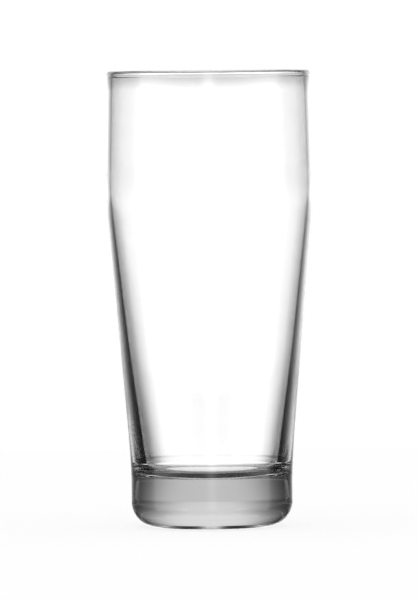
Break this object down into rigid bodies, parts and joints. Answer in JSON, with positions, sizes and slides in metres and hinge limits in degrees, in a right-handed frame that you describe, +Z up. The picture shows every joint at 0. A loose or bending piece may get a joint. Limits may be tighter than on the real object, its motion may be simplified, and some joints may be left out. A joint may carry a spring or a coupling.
{
  "type": "beer glass",
  "caption": "Tall clear beer tumbler: thick solid base with rounded foot, tapered body swelling to a soft belly, gently narrowing to a round beaded rim.",
  "frame": {"origin": "centre of the flat underside, on the surface the glass stands on", "axes": "+Z up along the axis that the glass is turned about, towards the rim; X and Y are alike"},
  "size_m": [0.0658, 0.0658, 0.146],
  "materials": {
    "clear_glass": "smooth fire-polished colourless soda-lime glass"
  },
  "bodies": {
    "root": {"tumbler": "clear_glass"}
  },
  "joints": []
}
